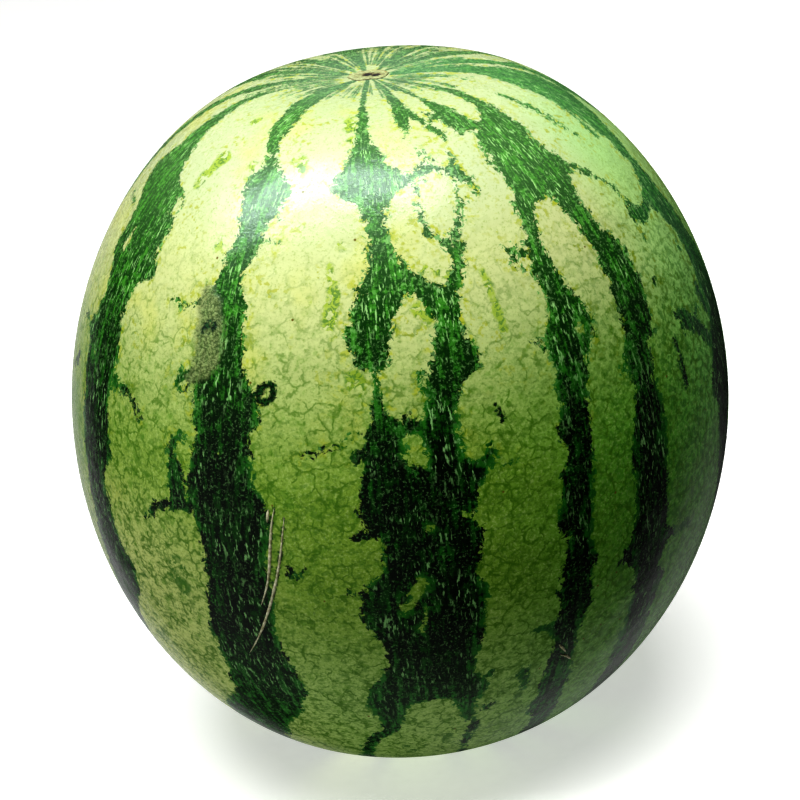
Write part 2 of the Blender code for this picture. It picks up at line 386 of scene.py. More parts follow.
# The light tent: soft white panels, as (way it lies, where its glow starts, strength), and its dark rest
TENT_PANELS = [
    ((0.15, -0.11, -0.98), 0.83, 0.5),
    ((-0.38, 0.82, -0.43), 0.9, 0.7),
    ((0.45, 0.45, -0.77), 0.85, 0.56),
    ((-0.73, -0.51, -0.46), 0.4, 0.9),
    ((0.9, 0.42, -0.05), 0.7, 0.16),
    ((0.05, 0.88, 0.47), 0.8, 0.2),
]
TENT_DARK = 0.01

# Lamps: name, place from the fruit's middle and size in metres, power, the way the long side runs, colour,
# and whether it shows only in gloss
LAMPS = [
    ("overhead_softbox", (-0.07, -0.24, 1.08), (1.2, 0.7), 18.8, (1, 0, 0), (1, 1, 1), False),
    ("gloss_strip", (-0.25, -0.06, 1.0), (1.2, 0.2), 66.0, (1, -0.2, 0), (0.84, 0.97, 1.0), True),
]
TABLE_GLOW = 0.45
TABLE_REACH = 4.0

TURN = 2 * math.pi
SEAM = 0.00001  # metres between points that are one point
DEGREE_UP = 2.3  # mm along a meridian for each degree of latitude
FAR = 60.0  # mm: deeper or farther than this makes no difference


def linear(text):
    """The linear RGBA colour of an sRGB hex value."""
    channels = [int(text[i : i + 2], 16) / 255 for i in (1, 3, 5)]
    return [c / 12.92 if c <= 0.04045 else ((c + 0.055) / 1.055) ** 2.4 for c in channels] + [1.0]


def feed(tree, node, inputs):
    """Sets or links a node's inputs, given by name or in order."""
    for key, value in inputs.items() if isinstance(inputs, dict) else enumerate(inputs):
        if isinstance(value, bpy.types.NodeSocket):
            tree.links.new(value, node.inputs[key])
        else:
            node.inputs[key].default_value = value


def add(tree, kind, inputs=(), output=0, **settings):
    """Adds a node with its inputs and settings and returns an output. A kind such as ADD is a math node."""
    if kind.isupper():
        kind, settings = "ShaderNodeMath", {"operation": kind}
    node = tree.nodes.new(kind)
    for name, value in settings.items():
        setattr(node, name, value)
    feed(tree, node, inputs)
    return node.outputs[output]


def new_object(name, data):
    """An object with some data, linked into the scene."""
    item = bpy.data.objects.new(name, data)
    bpy.context.scene.collection.objects.link(item)
    return item


def fruit_sizes():
    """The fruit's sizes in mm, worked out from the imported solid's box."""
    low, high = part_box("watermelon")
    girth = (high[1] - low[1]) / 2 / MM
    sizes = {name: share * girth for name, share in SHAPE.items()}
    sizes.update(girth_radius=girth, base_z=low[2] / MM, axis_x=0.0, rest_height=0.0)
    rest_latitude = -math.degrees(math.acos(REST_RADIUS))
    sizes["rest_height"] = rind_point(sizes, 0.0, rest_latitude)[2]
    ring = rind_point(sizes, np.arange(-180.0, 180.0, 1.0), np.full(360, GIRTH_LATITUDE))
    sizes["axis_x"] = (high[0] + low[0]) / 2 / MM - (ring[0].max() + ring[0].min()) / 2
    return sizes


def bell(distance, width):
    """A smooth bump, 1 at distance 0 and falling away over width."""
    return np.exp(-((distance / width) ** 2))


def rind_point(sizes, longitude, latitude):
    """A point of the rind, as x, y and z in mm over the resting plane. Takes numbers or arrays."""
    turn, tilt = np.radians(longitude), np.radians(latitude)
    radius = sizes["girth_radius"] * np.cos(tilt)
    height = sizes["half_length"] * np.sin(tilt)
    height = height - sizes["blossom_flattening"] * bell(90 - latitude, END_WIDTH)
    height = height + sizes["stem_flattening"] * bell(90 + latitude, END_WIDTH)
    swell = radius * (1 - LOBE_HEIGHT * np.cos(tilt) ** 2 * np.sin(LOBES * turn))
    x = swell * np.sin(turn) + LEAN * height + sizes["axis_x"]
    return np.array([x, -swell * np.cos(turn), height - sizes["rest_height"] + sizes["base_z"]])


def node_group(name, sockets):
    """A geometry node tree with float inputs, its input node and its output node."""
    tree = bpy.data.node_groups.new(name, "GeometryNodeTree")
    tree.interface.new_socket("Geometry", in_out="OUTPUT", socket_type="NodeSocketGeometry")
    for socket in sockets:
        kind = "NodeSocket" + (socket if socket in ("Geometry", "Material") else "Float")
        tree.interface.new_socket(socket, in_out="INPUT", socket_type=kind)
    return tree, tree.nodes.new("NodeGroupInput"), tree.nodes.new("NodeGroupOutput")


def close_tree(tree, given, made, mesh):
    """Ends a geometry node tree: its mesh is smooth, real and has its material."""
    node = partial(add, tree)
    mesh = node("GeometryNodeSetShadeSmooth", {"Geometry": mesh})
    mesh = node("GeometryNodeRealizeInstances", {"Geometry": mesh})
    mesh = node("GeometryNodeSetMaterial", {"Geometry": mesh, "Material": given.outputs["Material"]})
    tree.links.new(mesh, made.inputs["Geometry"])
    return tree


def grown_mesh(name, tree, values, start=None):
    """The mesh that a geometry node tree grows, from a start mesh or from nothing; inputs go by name."""
    guide = new_object(name + "_seed", start or bpy.data.meshes.new(name + "_seed"))
    modifier = guide.modifiers.new("grow", "NODES")
    modifier.node_group = tree
    for item in tree.interface.items_tree:
        if item.name in values:
            modifier[item.identifier] = values[item.name]
    graph = bpy.context.evaluated_depsgraph_get()
    mesh = bpy.data.meshes.new_from_object(guide.evaluated_get(graph))
    mesh.name = name
    bpy.data.objects.remove(guide)
    return mesh


def rind_height(node, given, tilt, radius):
    """Height over the resting plane: an ovoid's, lower at both ends, flat below, hollow round the stem."""
    height = node("MULTIPLY", (node("SINE", (tilt,)), given.outputs["Half Length"]))
    for end, flattening in ((1, "Blossom Flattening"), (-1, "Stem Flattening")):
        away = node("SUBTRACT", (TURN / 4, node("MULTIPLY", (tilt, float(end)))))
        share = node("DIVIDE", (away, given.outputs["End Width"]))
        bump = node("EXPONENT", (node("MULTIPLY", (node("MULTIPLY", (share, share)), -1.0)),))
        drop = node("MULTIPLY", (bump, float(-end)))
        height = node("MULTIPLY_ADD", (drop, given.outputs[flattening], height))
    over_rest = node("MAXIMUM", (node("SUBTRACT", (height, given.outputs["Rest Height"])), 0.0))
    hollow = node("ShaderNodeMapRange", {
        "Value": radius, "From Min": given.outputs["Hollow Radius"], "From Max": 0.0,
        "To Min": 0.0, "To Max": given.outputs["Hollow Depth"],
    }, interpolation_type="SMOOTHSTEP")
    return node("MULTIPLY_ADD", (hollow, node("LESS_THAN", (tilt, 0.0)), over_rest))


def rind_tree():
    """Geometry nodes that bend a grid into the fruit, a flat-ended leaning ovoid with three faint lobes."""
    tree, given, made = node_group("melon_rind", [
        "Girth Radius", "Half Length", "Blossom Flattening", "Stem Flattening", "End Width", "Rest Height",
        "Hollow Radius", "Hollow Depth", "Axis X", "Base Z", "Material",
    ])
    node = partial(add, tree)

    grid = node("GeometryNodeMeshGrid", {"Vertices X": MERIDIANS + 1, "Vertices Y": RINGS + 1})
    place = node("GeometryNodeInputPosition", {}, "Position")
    across, up = (node("ShaderNodeSeparateXYZ", {0: place}, axis) for axis in ("X", "Y"))
    turn = node("MULTIPLY", (across, TURN))
    tilt = node("MULTIPLY", (up, TURN / 2))
    share = node("COSINE", (tilt,))
    radius = node("MULTIPLY", (share, given.outputs["Girth Radius"]))
    over_rest = rind_height(node, given, tilt, radius)
    lobe = node("MULTIPLY", (node("SINE", (node("MULTIPLY", (turn, float(LOBES))),)), -LOBE_HEIGHT))
    swell = node("MULTIPLY_ADD", (lobe, node("MULTIPLY", (share, share)), 1.0))
    reach = node("MULTIPLY", (radius, swell))
    sine, cosine = node("SINE", (turn,)), node("MULTIPLY", (node("COSINE", (turn,)), -1.0))
    lean = node("MULTIPLY", (node("ADD", (over_rest, given.outputs["Rest Height"])), LEAN))
    x = node("MULTIPLY_ADD", (reach, sine, node("ADD", (lean, given.outputs["Axis X"]))))
    z = node("ADD", (over_rest, given.outputs["Base Z"]))
    spot = node("ShaderNodeCombineXYZ", {0: x, 1: node("MULTIPLY", (reach, cosine)), 2: z})
    spot = node("ShaderNodeVectorMath", {0: spot, "Scale": MM}, operation="SCALE")
    spoke = node("ShaderNodeCombineXYZ", {0: sine, 1: cosine, 2: node("MULTIPLY", (up, 2.0))})
    mesh = node("GeometryNodeStoreNamedAttribute", {"Geometry": grid, "Name": "spoke", "Value": spoke},
               data_type="FLOAT_VECTOR", domain="POINT")
    mesh = node("GeometryNodeSetPosition", {"Geometry": mesh, "Position": spot})
    mesh = node("GeometryNodeMergeByDistance", {"Geometry": mesh, "Distance": SEAM})
    return close_tree(tree, given, made, mesh)


def stripe_field(longitude, latitude, girth, rows):
    """How deep each point lies inside one stripe, in mm; outside it is negative."""
    heights, left, right = (np.array(column, float) for column in zip(*sorted(rows)))
    left, right = np.interp(latitude, heights, left), np.interp(latitude, heights, right)
    off_centre = np.abs((longitude - (left + right) / 2 + 180) % 360 - 180)
    degree = girth * np.cos(np.radians(latitude)) * math.pi / 180
    inside = ((right - left) / 2 - off_centre) * degree
    over_foot = (latitude - heights[0]) * DEGREE_UP + 1 if heights[0] > -90 else FAR
    under_top = (heights[-1] - latitude) * DEGREE_UP + 1 if heights[-1] < 90 else FAR
    return np.minimum(inside, np.minimum(over_foot, under_top))


def chain_field(sizes, points, chains):
    """How deep each point lies inside the nearest of some chains of beads, in mm."""
    field = np.full(len(points), -FAR)
    for chain in chains:
        spots = [(rind_point(sizes, lon, lat), half) for lon, lat, half in chain]
        for (start, first), (end, last) in zip(spots, spots[1:] or spots):
            along = end - start
            share = np.clip((points - start) @ along / max(along @ along, 1e-9), 0, 1)
            gap = np.linalg.norm(points - start - share[:, None] * along, axis=1)
            field = np.maximum(field, first + (last - first) * share - gap)
    return field


def hidden_stripes():
    """Stripes for the side that faces away: each wanders and swells about its own meridian."""
    rng = np.random.default_rng(BACK_SEED)
    stripes = []
    for middle, half in BACK_STRIPES:
        latitudes = np.linspace(90, -90, BACK_LEVELS)
        sway = np.cumsum(rng.normal(0, 0.9, BACK_LEVELS))
        sway -= np.linspace(0, sway[-1], BACK_LEVELS)
        width = np.abs(half * (1 + 0.28 * rng.normal(size=BACK_LEVELS)))
        lefts = middle + sway - width
        rights = middle + sway + width * (1 + 0.2 * rng.normal(size=BACK_LEVELS))
        stripes.append(list(zip(latitudes, lefts, rights)))
    return stripes


def hidden_marks():
    """Small dark tabs and threads between the hidden stripes."""
    rng = np.random.default_rng(BACK_SEED + 1)
    marks = []
    for middle, half in BACK_STRIPES:
        for _ in range(BACK_TABS):
            side = rng.choice((-1, 1))
            lon, lat = middle + side * half, rng.uniform(-60, 65)
            reach = side * rng.uniform(1, 7)
            end = (lon + reach, lat + rng.uniform(-3, 3), 0.5)
            marks.append([(lon, lat, rng.uniform(1, 2.6)), end])
    return marks


def polar_rays():
    """The fine dark spokes round both ends: long, forked and crowded on the side that faces away."""
    rng = np.random.default_rng(RAY_SEED)
    rays = []
    for end in (1, -1):
        for i in range(RAYS):
            lon = 360 * (i + rng.uniform(-0.4, 0.4)) / RAYS
            from_back = abs((lon + 180) % 360 - 180) / 180
            start = rng.uniform(4.2, 6.5)
            reach = rng.uniform(2, 7) + 26 * from_back * rng.uniform(0.3, 1)
            bend = rng.uniform(-2, 2)
            half = rng.uniform(0.3, 0.65) * (0.85 + 0.75 * from_back)
            for side in (0, rng.choice((-1, 1)))[: 1 + (from_back > 0.35)]:
                head = start + reach * 0.4 * abs(side)
                colats = np.linspace(head, start + reach, 6)
                drift = bend * (colats - start) / reach + side * 5 * (colats - head) / reach
                widths = half * np.array([0.6, 0.95, 1, 0.9, 0.7, 0.3])
                rays.append([(lon + d, end * (90 - c), w) for d, c, w in zip(drift, colats, widths)])
    return rays


def paint_rind(mesh, sizes):
    """Stores on the rind how deep, in mm, each point lies in each of RIND_FIELDS."""
    count = len(mesh.vertices)
    spokes, points = np.empty(count * 3, np.float32), np.empty(count * 3, np.float32)
    mesh.attributes["spoke"].data.foreach_get("vector", spokes)
    mesh.vertices.foreach_get("co", points)
    spokes, points = spokes.reshape(-1, 3), points.reshape(-1, 3).astype(float) / MM
    longitude = np.degrees(np.arctan2(spokes[:, 0], -spokes[:, 1]))
    latitude = spokes[:, 2] * 90.0
    girth, stripes = sizes["girth_radius"], list(STRIPES.values()) + hidden_stripes()
    dark = np.max([stripe_field(longitude, latitude, girth, rows) for rows in stripes], axis=0)
    dark = np.maximum(dark, chain_field(sizes, points, MARKS + hidden_marks() + polar_rays()))
    dark = np.minimum(dark, -chain_field(sizes, points, ISLANDS))
    # Painted shade: a dark line under and beside each scratch bead stands for a groove that the rind does
    # not have
    nicks_and_groove_shade = NICKS + [[(lon, lat, SCRATCH_GROOVE_SHADE) for lon, lat in path] for path in SCRATCHES]
    rest = [chain_field(sizes, points, chains) for chains in (BLOTCHES, SCAB, nicks_and_groove_shade, GROUND_SPOT)]
    for name, values in zip(RIND_FIELDS, [dark] + rest):
        layer = mesh.attributes.new(name, "FLOAT", "POINT")
        layer.data.foreach_set("value", np.clip(values, -FAR, FAR).astype(np.float32))


def new_material(name):
    """An empty node material with a Principled shader: the material, its tree and the shader."""
    material = bpy.data.materials.new(name)
    material.use_nodes = True
    return material, material.node_tree, material.node_tree.nodes["Principled BSDF"]


def coat(node, base, colour, *masks, strength=1.0):
    """A colour laid over a base where all masks show, each as (value, its start, where it is full)."""
    share = strength
    for value, start, end in masks:
        mask = node("ShaderNodeMapRange", {"Value": value, "From Min": start, "From Max": end},
                    interpolation_type="SMOOTHSTEP")
        share = node("MULTIPLY", (mask, share))
    base, colour = (linear(c) if isinstance(c, str) else c for c in (base, colour))
    return node("ShaderNodeMix", {0: share, 6: base, 7: colour}, 2, data_type="RGBA")


def rind_patterns(node):
    """What the rind is painted with: fields, side and height from -1 to 1, clouds, cells and streaks."""
    place = node("ShaderNodeTexCoord", output="Object")
    place = node("ShaderNodeVectorMath", {0: place, "Scale": 1 / MM}, operation="SCALE")
    spoke = node("ShaderNodeAttribute", output="Vector", attribute_name="spoke")
    found = {name: node("ShaderNodeAttribute", output="Fac", attribute_name=name) for name in RIND_FIELDS}
    found["side"] = node("ShaderNodeSeparateXYZ", (spoke,), "X")
    found["height"] = node("ShaderNodeSeparateXYZ", (spoke,), "Z")
    for name, (size, detail, roughness) in CLOUDS.items():
        found[name] = node("ShaderNodeTexNoise", {"Vector": place, "Scale": 1 / size, "Detail": detail,
                                                  "Roughness": roughness})
    bend_size, bend_reach = CELL_WARP
    bend = node("ShaderNodeTexNoise", {"Vector": place, "Scale": 1 / bend_size, "Detail": 4.0}, "Color")
    bend = node("ShaderNodeVectorMath", (bend, (0.5, 0.5, 0.5)), operation="SUBTRACT")
    bend = node("ShaderNodeVectorMath", {0: bend, "Scale": bend_reach}, operation="SCALE")
    warped = node("ShaderNodeVectorMath", (place, bend), operation="ADD")
    for name in ("chips", "crumbs", "freckles"):
        cell = node("ShaderNodeTexVoronoi", {"Vector": warped, "Scale": 1 / CELLS[name]}, "Color")
        found[name] = node("ShaderNodeSeparateColor", (cell,), "Red")
    for name in ("plates", "slabs"):
        cell = {"Vector": warped, "Scale": 1 / CELLS[name]}
        found[name + " seam"] = node("ShaderNodeTexVoronoi", cell, "Distance", feature="DISTANCE_TO_EDGE")
    found["freckle spot"] = node("ShaderNodeTexVoronoi", {"Vector": place, "Scale": 1 / CELLS["freckles"]},
                                 "Distance")
    for name, (across, along) in STREAKS.items():
        stretched = node("ShaderNodeVectorMath", (spoke, (across, across, along)), operation="MULTIPLY")
        found[name] = node("ShaderNodeTexNoise", {"Vector": stretched, "Scale": 1.0, "Detail": 3.0,
                                                  "Roughness": 0.6})
    return found


def frayed(node, found, width):
    """How far an edge strays in or out where it frays over a width, in mm."""
    return node("MULTIPLY_ADD", (found["ragged"], width, -width / 2))


def stripe_ink(node, found):
    """How deep a point lies in a stripe whose edge is frayed, more so near the blossom end, in mm."""
    fray = frayed(node, found, STRIPE_FRAY)
    lace = node("ShaderNodeMapRange", {"Value": found["height"], "From Min": 0.0, "From Max": 0.5,
                                       "To Min": 1.0, "To Max": 2.2})
    for name, width in (("chips", 2.0), ("crumbs", lace)):
        fray = node("MULTIPLY_ADD", (node("SUBTRACT", (found[name], 0.5)), width, fray))
    calm = node("ShaderNodeMapRange", {"Value": node("ABSOLUTE", (found["height"],)), "From Min": 0.6,
                                       "From Max": 0.92, "To Min": 1.0, "To Max": 0.12})
    return node("MULTIPLY_ADD", (fray, calm, found["dark"]))


def coats(node, paint, *layers):
    """Lays coats over a colour in order, each as (colour, strength, masks)."""
    for colour, strength, *masks in layers:
        paint = coat(node, paint, colour, *masks, strength=strength)
    return paint


def stripe_paint(node, found, ink):
    """The colour of a stripe: deep green with streaks, crumbs and light flecks, and darker edges on top;
    paler towards the top and darkest through the middle height, partly painted light, shade and sheen, with
    a painted rim sheen on the right.
    """
    height, gathering = found["height"], found["gathering"]
    # Painted light and shade by height: the stripe's greens are lighter towards the top and a little
    # lighter at the bottom than in the middle
    deep = coat(node, "#051405", "#21501A", (height, 0.1, 0.6))
    deep = coat(node, deep, "#0A2C08", (height, -0.15, -0.4))
    green = coat(node, "#22601A", "#4A8C30", (height, 0.08, 0.5))
    green = coat(node, green, "#3A7C32", (height, -0.12, -0.4))
    light = coat(node, "#7CAA6C", "#9CCB82", (height, 0.05, 0.5))
    tone = found["threads"]
    for name, share in (("crumbs", 0.15), ("mottled", 0.8), ("gritty", 0.4)):
        tone = node("MULTIPLY_ADD", (found[name], share, tone))
    return coats(
        node, deep,
        (green, 1.0, (tone, 1.12, 1.38)),
        ("#2C7222", 0.7, (ink, 3.0, 0.4), (gathering, 0.48, 0.56), (height, 0.4, 0.2)),
        (deep, 0.7, (ink, 2.4, 0.4), (height, 0.3, 0.5)),
        # Painted sheen: a pale grey-green veil over the upper part of the stripes
        ("#86A478", 0.16, (height, 0.35, 0.6)),
        ("#68846A", 0.45, (height, 0.76, 0.92)),
        # Painted rim sheen: paler green over the stripes along the right edge, above the middle
        ("#4E9A5C", 0.22, (found["side"], 0.8, 0.97), (height, 0.0, 0.2)),
        (light, 0.4, (found["crumbs"], 0.74, 0.88), (ink, 6.0, 0.6), (height, 0.0, 0.45)),
        # Painted shade: stripe centres darker through the middle height
        (deep, 0.6, (ink, 2.0, 6.0), (height, 0.3, 0.1), (height, -0.4, -0.2)),
        (light, 0.95, (found["dashes"], 0.56, 0.64), (gathering, 0.4, 0.58), (ink, 0.6, 3.0),
         (height, -0.45, -0.25)),
        (light, 0.35, (found["gritty"], 0.56, 0.66), (gathering, 0.62, 0.42)),
    )


def ground_tone_and_painted_light(node, found):
    """The smooth colour under the ground's texture, partly its own and partly painted light and shade:
    paler below, cream higher up, palest at mid-height and a little darker on top, greener and darker on the
    shaded right with a painted lighter rim, paler and yellower on the lit left, greyer at the far left
    edge.
    """
    height, side = found["height"], found["side"]
    return coats(
        node, "#80A03C",
        # Painted light and shade by height: paler below, palest at mid-height and a little darker on top,
        # as the light falls from the front and above
        ("#9BBA68", 1.0, (height, -0.05, -0.35)),
        ("#BAC28A", 1.0, (height, 0.05, 0.42)),
        ("#B3BE94", 1.0, (height, 0.42, 0.6)),
        ("#A9B68A", 1.0, (height, 0.65, 0.85)),
        # Painted light and shade by side: greener and darker on the shaded right with a painted lighter rim
        # there, paler and yellower on the lit left; greyer at the far left edge
        ("#56A438", 0.75, (side, 0.0, 0.8), (height, 0.45, 0.0)),
        ("#8CD676", 0.45, (side, 0.72, 0.95), (height, 0.8, 0.5)),
        ("#C8D088", 0.85, (side, -0.25, -0.9), (height, 0.15, -0.1)),
        ("#6A8448", 0.8, (side, -0.88, -1.0), (height, 0.3, 0.1)),
        ("#BDBE48", 0.35, (found["drifting"], 0.52, 0.74), (height, -0.2, 0.3), (side, 0.6, -0.1)),
    )


def ground_paint(node, found, ink):
    """The pale ground: cracked, freckled and mottled, more so lower down, with a yellower fringe."""
    height, gritty, dotted = found["height"], found["gritty"], found["dotted"]
    breaking, gathering = found["breaking"], found["gathering"]
    blotch = node("ADD", (found["blotch"], frayed(node, found, STRIPE_FRAY)))
    olive = coat(node, "#406F1C", "#93AA36", (height, 0.05, 0.4))
    olive = coat(node, olive, "#3E7224", (found["crumbs"], 0.5, 0.75), strength=0.85)
    return coats(
        node, ground_tone_and_painted_light(node, found),
        ("#CBE096", 0.3, (gritty, 0.47, 0.36), (height, 0.6, 0.0)),
        ("#5E8A28", 0.7, (found["mottled"], 0.5, 0.68), (height, 0.55, 0.1)),
        ("#46741E", 0.55, (found["rungs"], 0.51, 0.64), (height, 0.5, 0.05)),
        ("#9AA22C", 0.7, (dotted, 0.55, 0.64), (gathering, 0.5, 0.62), (height, 0.15, 0.35)),
        ("#A4AC28", 0.75, (ink, -6.0, -0.5), (dotted, 0.46, 0.6), (breaking, 0.44, 0.6),
         (height, 0.0, 0.3)),
        ("#44700F", 0.78, (found["plates seam"], 0.1, 0.02), (breaking, 0.43, 0.55), (height, 0.6, 0.1)),
        ("#44700F", 0.55, (found["slabs seam"], 0.15, 0.02), (gathering, 0.5, 0.62), (height, 0.35, 0.0)),
        ("#44701C", 0.55, (gritty, 0.53, 0.66), (height, 0.6, 0.0)),
        ("#7F9A3C", 0.5, (gritty, 0.54, 0.68), (height, 0.2, 0.5)),
        ("#2C6A16", 0.6, (dotted, 0.48, 0.6), (found["side"], 0.3, 0.8), (height, 0.55, 0.2)),
        ("#665C20", 1.0, (found["freckle spot"], 0.075, 0.045), (found["freckles"], 0.6, 0.65)),
        (olive, 0.85, (blotch, -1.0, 0.6), (found["chips"], 0.2, 0.45)),
    )


def rind_material():
    """Waxy grown rind: pale cracked ground under dark frayed stripes, glossy, with an orange-peel grain."""
    material, tree, shader = new_material("waxy_watermelon_rind")
    node = partial(add, tree)
    found = rind_patterns(node)
    ink = stripe_ink(node, found)
    paint = coat(node, ground_paint(node, found, ink), stripe_paint(node, found, ink), (ink, -0.25, 0.35))

    # Dry scab, dark nicks with painted groove shade along the scratches, and the cream patch where the
    # fruit lay on the soil
    edge = frayed(node, found, SCAB_FRAY)
    scab = node("ADD", (found["scab"], edge))
    dry = coat(node, "#465828", "#889660", (found["gritty"], 0.35, 0.65))
    paint = coat(node, paint, dry, (scab, -1.8, 2.2), strength=0.85)
    nick_and_groove_shade = node("ADD", (found["nick_and_groove_shade"], node("MULTIPLY_ADD", (found["crumbs"], 1.0, -0.5))))
    dark = coat(node, "#0A1C0A", "#1D4A1C", (found["gritty"], 0.45, 0.62))
    paint = coat(node, paint, dark, (nick_and_groove_shade, -0.4, 0.4))
    cream = node("MULTIPLY_ADD", (edge, 2.0, found["cream"]))
    straw = coat(node, "#E2D694", "#CDB765", (found["mottled"], 0.4, 0.7))
    paint = coat(node, paint, straw, (cream, -6.0, 8.0), strength=0.9)

    # The scab is duller and coarser than the wax
    scabby = node("ShaderNodeMapRange", {"Value": scab, "From Min": -1.2, "From Max": 1.4})
    gloss = node("ShaderNodeMapRange", {"Value": found["waxy"], "From Min": 0.3, "From Max": 0.7,
                                        "To Min": 0.23, "To Max": 0.3})
    relief = node("MULTIPLY", (found["gritty"], node("MULTIPLY_ADD", (scabby, 0.4, 0.1))))
    relief = node("MULTIPLY_ADD", (found["swelling"], 0.7, relief))
    feed(tree, shader, {
        "Base Color": paint,
        "Roughness": node("MULTIPLY_ADD", (scabby, 0.3, gloss)),
        "Normal": node("ShaderNodeBump", {"Height": relief, "Distance": MM}, "Normal"),
        "Specular IOR Level": 0.08,
    })
    return material


def cork_material():
    """Dry cork of a healed scar: tan ridges over a pale floor, brown lower down and near black in the pits
    and along the low edge, which is painted shade; cracked and matt.
    """
    material, tree, shader = new_material("dry_scar_cork")
    node = partial(add, tree)
    place = node("ShaderNodeTexCoord", output="Object")
    fibres = node("ShaderNodeTexNoise", {"Vector": place, "Scale": 900.0, "Detail": 4.0, "Roughness": 0.7})
    relief = node("ShaderNodeAttribute", output="Fac", attribute_name="relief")
    relief = node("ADD", (relief, node("MULTIPLY_ADD", (fibres, 0.3, -0.15))))
    # Painted shade: the colour follows the relief, near black in the pits and at the low outer edge
    share = node("ShaderNodeMapRange", {"Value": relief, "From Min": 0.0, "From Max": CORK_RELIEF})
    tone = node("ShaderNodeValToRGB", (share,), "Color")
    stops = tone.node.color_ramp.elements
    for position, _ in CORK_TONES_AND_PIT_SHADE[1:-1]:
        stops.new(position)
    for stop, (_, colour) in zip(stops, CORK_TONES_AND_PIT_SHADE):
        stop.color = linear(colour)
    feed(tree, shader, {
        "Base Color": tone,
        "Normal": node("ShaderNodeBump", {"Height": fibres, "Distance": 0.3 * MM}, "Normal"),
        "Roughness": 0.75,
        "Specular IOR Level": 0.15,
    })
    return material


def scratch_material():
    """Dry tissue that closes a scratch: pale matt flakes over straw."""
    material, tree, shader = new_material("dry_scratch_tissue")
    node = partial(add, tree)
    place = node("ShaderNodeTexCoord", output="Object")
    flakes = node("ShaderNodeTexNoise", {"Vector": place, "Scale": 700.0, "Detail": 3.0})
    share = node("ShaderNodeMapRange", {"Value": flakes, "From Min": 0.4, "From Max": 0.65})
    colour = node("ShaderNodeMix", {0: share, 6: linear("#8C8A62"), 7: linear("#D6D4B4")}, 2,
                  data_type="RGBA")
    feed(tree, shader, {"Base Color": colour, "Roughness": 0.6})
    return material


def paper_material():
    """Matt white backdrop paper on a light table, which keeps shadows soft."""
    material, tree, shader = new_material("matt_backdrop_paper")
    node = partial(add, tree)
    place = node("ShaderNodeTexCoord", output="Object")
    fibre = node("ShaderNodeTexNoise", {"Vector": place, "Scale": 250.0, "Detail": 3.0})
    colour = node("ShaderNodeMix", {0: fibre, 6: linear("#EDEDEB"), 7: linear("#F6F6F4")}, 2,
                  data_type="RGBA")
    feed(tree, shader, {
        "Base Color": colour, "Emission Color": colour, "Emission Strength": TABLE_GLOW, "Roughness": 0.9,
    })
    return material


def add_piece(name, mesh, replaces=None):
    """Puts a finished mesh in the scene as a piece of the fruit."""
    piece = new_object(name, mesh)
    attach(piece, "root")
    if replaces:
        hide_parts(replaces)


def make_rind(sizes):
    """The rind: its tree's inputs bear the names of the fruit's sizes."""
    values = {name.replace("_", " ").title(): value for name, value in sizes.items()}
    values.update({"End Width": math.radians(END_WIDTH), "Material": rind_material()})
    mesh = grown_mesh("rind", rind_tree(), values)
    paint_rind(mesh, sizes)
    add_piece("rind", mesh, "watermelon")


def scar_cap(radius_at, relief_at):
    """A disc of rings raised by a formula, with a flat underside: points, relief at each, and faces."""
    verts, values, faces = [], [], []
    for ring in range(SCAR_RINGS + 1):
        share = ring / SCAR_RINGS
        for i in range(SCAR_SPOKES):
            turn, j = TURN * i / SCAR_SPOKES, (i + 1) % SCAR_SPOKES
            reach = radius_at(turn) * share
            x, y = reach * math.cos(turn), reach * math.sin(turn)
            values.append(relief_at(x, y, share))
            verts.append((x, y, values[-1] - SCAR_SINK * share ** 10))
            a, b = ring * SCAR_SPOKES, (ring + 1) * SCAR_SPOKES
            faces.append((a + i, b + i, b + j, a + j))
    verts += [(x * 0.9, y * 0.9, -SCAR_FOOT) for x, y, _ in verts[-SCAR_SPOKES:]]
    values += [0.0] * SCAR_SPOKES
    faces.append(tuple(reversed(range(len(verts) - SCAR_SPOKES, len(verts)))))
    return verts, values, faces


def make_scar(name, radius_at, relief_at, place, facing, material):
    """A round cap of scar tissue at a place, facing up or, with -1, down."""
    verts, values, faces = scar_cap(radius_at, relief_at)
    mesh = bpy.data.meshes.new(name)
    mesh.from_pydata([Vector(v) * MM for v in verts], [], faces)
    layer = mesh.attributes.new("relief", "FLOAT", "POINT")
    layer.data.foreach_set("value", values)
    solid = bmesh.new()
    solid.from_mesh(mesh)
    bmesh.ops.remove_doubles(solid, verts=solid.verts, dist=SEAM)
    solid.transform(Matrix.Translation(place * MM) @ Matrix.Diagonal((1, facing, facing, 1)))
    solid.to_mesh(mesh)
    solid.free()
    mesh.shade_smooth()
    mesh.materials.append(material)
    add_piece(name, mesh)


def rough(x, y, size, seed):
    """Uneven growth, about -1 to 1, with features of a size in mm."""
    return noise.fractal(Vector((x / size, y / size, seed)), 1.0, 2.0, 4)


def blossom_radius(turn):
    """The blossom scar's outline: an oval with five faint waves."""
    return BLOSSOM_RADIUS * (1 + 0.2 * math.cos(2 * (turn + 0.1)) + 0.05 * math.sin(5 * turn))


def stem_radius(turn):
    """The stem scar's outline: round, with three faint waves."""
    return STEM_RADIUS * (1 + 0.06 * math.sin(3 * turn))


